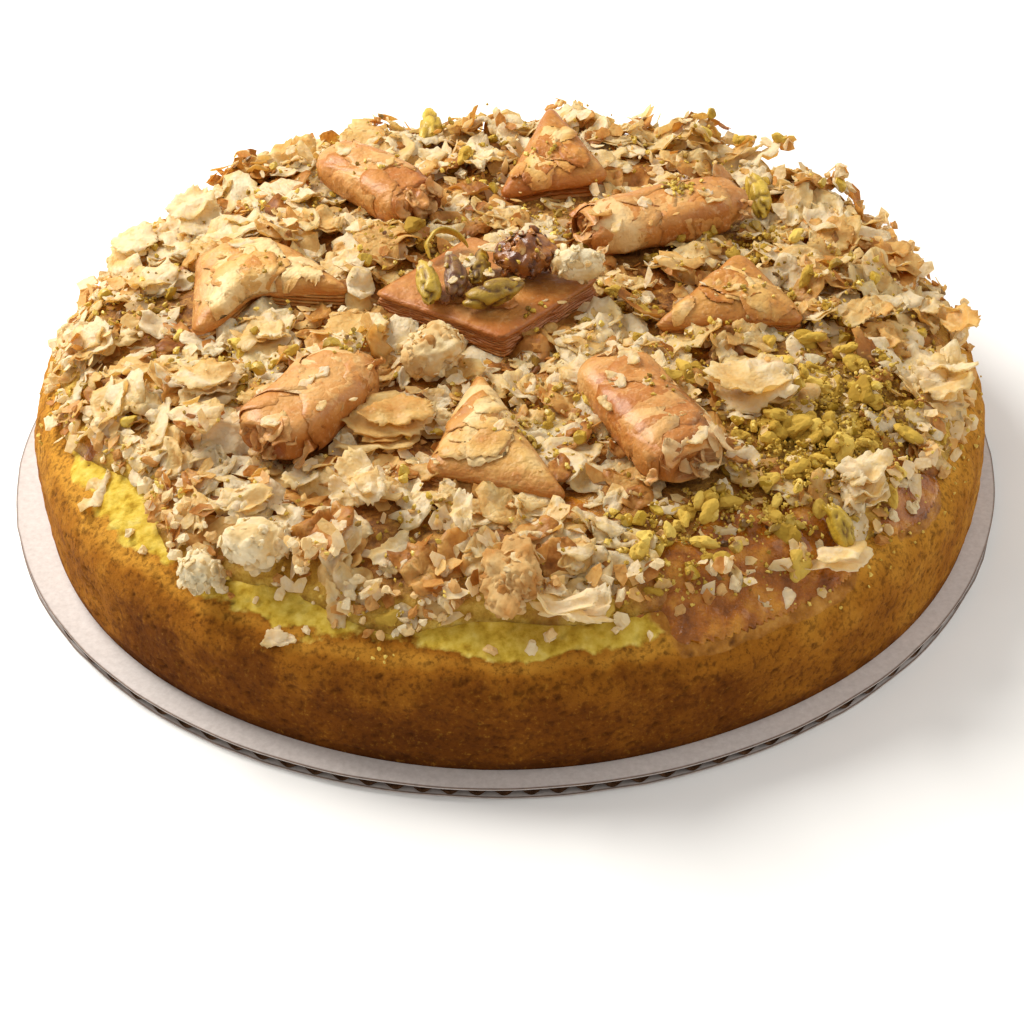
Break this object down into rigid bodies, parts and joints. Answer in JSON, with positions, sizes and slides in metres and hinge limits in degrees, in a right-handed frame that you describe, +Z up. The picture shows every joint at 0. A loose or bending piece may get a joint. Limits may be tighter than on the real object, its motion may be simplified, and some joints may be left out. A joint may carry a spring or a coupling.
{
  "type": "pistachio baklava cake",
  "caption": "Round sponge cake on a corrugated card round, its top heaped with broken filo, chopped pistachio and pieces of baklava, served whole and cut into wedges.",
  "frame": {"origin": "centre of the card round's underside", "axes": "+Z up, -Y to the front of the picture, +X to its right"},
  "size_m": [0.254, 0.254, 0.0644],
  "materials": {
    "card": "matt pale greyish paper face over kraft flutes that show at the cut edge",
    "sponge": "matt baked sponge crust, golden orange to brown, full of small dark pores, yellow-green where the top shows",
    "topping": "dry broken flakes, crumbs and chopped nuts in cream, tan and olive green, with syrup between them",
    "filo": "thin crisp translucent sheets, cream to golden, satin with ragged edges",
    "pastry": "layered crisp pastry, pale golden with browner edges and a light syrup sheen",
    "glazed_pastry": "syrup-soaked layered pastry, orange brown, wet gloss",
    "pistachio": "olive to yellow-green nut with darker purple-brown skin, slightly wet",
    "candied_nut": "dark amber candied nut, wet gloss",
    "crumb": "matt clumped pastry crumb, white to tan"
  },
  "bodies": {
    "root": {"card_round": "card", "sponge_cake": "sponge", "topping_heap": "topping", "baklava_diamond": "glazed_pastry", "baklava_roll_front_left": "glazed_pastry", "baklava_roll_front_right": "glazed_pastry", "baklava_roll_back_right": "glazed_pastry", "baklava_roll_back_left": "glazed_pastry", "baklava_triangle_left": "pastry", "baklava_triangle_front": "pastry", "baklava_triangle_right": "pastry", "baklava_triangle_back": "pastry", "pistachio_kernel_left": "pistachio", "pistachio_kernel_middle": "pistachio", "pistachio_kernel_back": "pistachio", "pistachio_kernel_front": "pistachio", "pistachio_slice_curved": "pistachio", "pistachio_kernel_back_right": "pistachio", "pistachio_kernel_back_left": "pistachio", "pistachio_kernel_front_right": "pistachio", "candied_nut": "candied_nut", "crumb_chunk_diamond": "crumb", "crumb_ball_centre": "crumb", "crumb_roll_front": "crumb", "crumb_chunk_left": "crumb", "crumb_chunk_rim_left": "crumb", "filo_rose_right": "filo", "filo_stack_right": "filo", "filo_curl_right": "filo", "filo_rose_back_right": "filo", "filo_sheet_right": "filo", "filo_fold_centre": "filo", "filo_flake_left": "filo", "filo_sheet_front_left": "filo", "filo_shard_back_left": "filo", "filo_shard_rim_left": "filo", "filo_rose_front": "filo", "filo_shard_front": "filo", "filo_tuft_front_left": "filo", "filo_shard_middle_left": "filo", "filo_flake_middle": "filo", "filo_shard_rim_right": "filo", "filo_heap_back_left": "filo", "filo_shard_left": "filo"}
  },
  "joints": []
}
